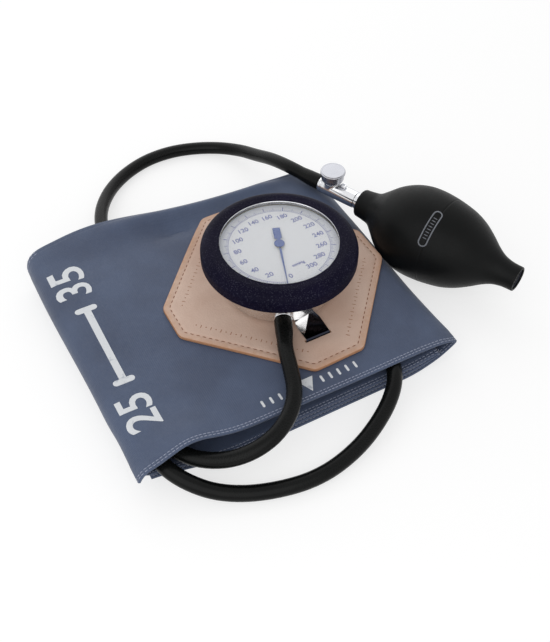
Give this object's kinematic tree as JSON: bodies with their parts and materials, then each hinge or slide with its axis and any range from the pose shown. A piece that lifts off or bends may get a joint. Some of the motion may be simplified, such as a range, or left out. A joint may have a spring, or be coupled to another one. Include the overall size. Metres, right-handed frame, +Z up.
{
  "type": "aneroid sphygmomanometer",
  "caption": "Blood pressure gauge on a leather patch and folded arm cuff, with two hoses, a release valve and a rubber bulb.",
  "frame": {"origin": "centre of the folded cuff's underside, on the table", "axes": "+X along the packet's front edge towards the bulb, +Y from the front edge to the back, +Z up"},
  "size_m": [0.2048, 0.236, 0.0469],
  "materials": {
    "cuff_nylon": "matt woven nylon",
    "loop_fabric": "brushed loop pile",
    "hook_plastic": "woven hook tape",
    "tan_leather": "natural vegetable-tanned, stitched edge",
    "black_rubber": "matt",
    "hose_rubber": "satin, smooth",
    "bulb_rubber": "satin, fine moulded skin",
    "navy_rubber": "matt moulded",
    "polished_chrome": "mirror",
    "case_chrome": "polished, faintly brushed round",
    "steel": "turned",
    "brass": "fine turned",
    "glass": "clear, polished",
    "dial_white": "matt enamel with printed scale",
    "pointer_blue": "blued"
  },
  "bodies": {
    "root": {"cuff_cover": "cuff_nylon", "bladder": "black_rubber", "gauge_port": "black_rubber", "bulb_port": "black_rubber", "loop_panel": "loop_fabric", "hook_panel": "hook_plastic", "leather_patch": "tan_leather", "retaining_clip": "polished_chrome", "clip_rivets": "steel", "case": "case_chrome", "bezel_ring": "polished_chrome", "lens": "glass", "lens_gasket": "black_rubber", "bumper": "navy_rubber", "stem": "polished_chrome", "capsule_hub": "brass", "hub_screws": "steel", "diaphragm_lower": "brass", "diaphragm_upper": "brass", "case_pillars": "brass", "base_plate": "brass", "base_plate_screws": "steel", "plate_pillars": "brass", "top_plate": "brass", "top_plate_screws": "steel", "rocker_brackets": "brass", "pinion_bridge": "brass", "hairspring": "steel", "hairspring_stud": "brass", "dial": "dial_white", "gauge_hose": "hose_rubber", "bulb_hose": "hose_rubber", "valve_body": "polished_chrome", "valve_gland": "polished_chrome", "screw_seal": "black_rubber", "bleed_plug": "polished_chrome", "outlet_seat": "brass", "outlet_retainer": "brass", "bulb": "bulb_rubber", "inlet_body": "steel", "inlet_retainer": "brass", "inlet_filter": "steel"},
    "pointer_assembly": {"pointer": "pointer_blue", "pointer_bush": "pointer_blue", "pinion_arbor": "steel"},
    "sector": {"sector_gear": "brass", "sector_arbor": "steel"},
    "rocker": {"rocking_shaft": "steel"},
    "stud": {"capsule_stud": "brass"},
    "needle": {"release_needle": "brass"},
    "knob": {"valve_knob": "polished_chrome", "release_screw": "steel"},
    "outlet_check_ball": {"outlet_ball": "steel"},
    "inlet_check_ball": {"inlet_ball": "steel"}
  },
  "joints": [
    {"name": "pointer_turn", "type": "hinge", "parent": "root", "child": "pointer_assembly", "pos_m": [0.023, -0.004, 0.0435], "axis": [0, 0, -1], "range_deg": [0, 320], "stiffness_Nm_per_rad": 0.00002},
    {"name": "sector_swing", "type": "hinge", "parent": "root", "child": "sector", "pos_m": [0.04236, -0.00815, 0.039], "axis": [0, 0, 1], "range_deg": [0, 32]},
    {"name": "rocker_tilt", "type": "hinge", "parent": "root", "child": "rocker", "pos_m": [0.023, -0.007, 0.035], "axis": [1, 0, 0], "range_deg": [0, 22.92]},
    {"name": "capsule_rise", "type": "slide", "parent": "root", "child": "stud", "axis": [0, 0, 1], "range_m": [0, 0.0012], "deforming": ["diaphragm_upper"]},
    {"name": "needle_lift", "type": "slide", "parent": "root", "child": "needle", "axis": [0, 0, 1], "range_m": [0, 0.00105]},
    {"name": "knob_turn", "type": "hinge", "parent": "needle", "child": "knob", "pos_m": [0.07833, 0.03996, 0.031], "axis": [0, 0, 1], "range_deg": [0, 540]},
    {"name": "outlet_ball_lift", "type": "slide", "parent": "root", "child": "outlet_check_ball", "axis": [-0.4003, 0.9164, 0], "range_m": [0, 0.0008]},
    {"name": "inlet_ball_lift", "type": "slide", "parent": "root", "child": "inlet_check_ball", "axis": [-0.4003, 0.9164, 0], "range_m": [0, 0.0008]}
  ],
  "couplings": [
    {"joint": "sector_swing", "follows": "pointer_turn", "ratio": 0.1},
    {"joint": "rocker_tilt", "follows": "pointer_turn", "ratio": 0.07162},
    {"joint": "capsule_rise", "follows": "pointer_turn", "m_per_rad": 0.00021486},
    {"joint": "needle_lift", "follows": "knob_turn", "m_per_rad": 0.00011141}
  ]
}
